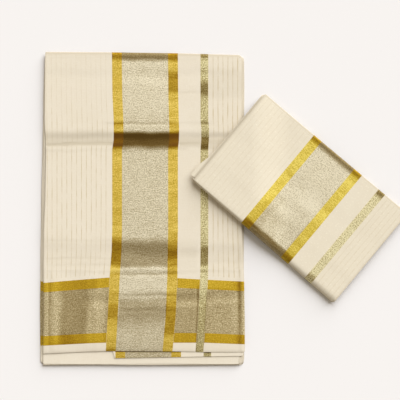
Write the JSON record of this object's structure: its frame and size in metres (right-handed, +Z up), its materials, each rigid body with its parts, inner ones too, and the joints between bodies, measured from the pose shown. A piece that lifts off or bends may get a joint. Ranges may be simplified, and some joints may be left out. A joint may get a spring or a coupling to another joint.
{
  "type": "folded two-piece saree",
  "caption": "Cream cotton saree folded flat, with gold and silver-gold zari bands, its small shoulder cloth folded and laid partly on the large lower cloth.",
  "frame": {"origin": "on the surface that the folded cloths lie on, under the middle of the pair", "axes": "+Z up from the surface, +Y towards the lower cloth's half fold, away from its selvedges, +X towards the shoulder cloth"},
  "size_m": [0.7318, 0.6292, 0.0229],
  "materials": {
    "lower_cloth_cotton": "unbleached cream cotton, fine plain weave with thin stripes and woven gold and silver-gold zari bands",
    "shoulder_cloth_cotton": "unbleached cream cotton, fine plain weave with thin stripes and woven gold and silver-gold zari bands"
  },
  "bodies": {
    "root": {"lower_cloth_top_leaf": "lower_cloth_cotton", "lower_cloth_second_leaf": "lower_cloth_cotton", "lower_cloth_inner_folds": "lower_cloth_cotton", "shoulder_cloth_top_leaf": "shoulder_cloth_cotton", "shoulder_cloth_second_leaf": "shoulder_cloth_cotton", "shoulder_cloth_inner_folds": "shoulder_cloth_cotton"}
  },
  "joints": []
}
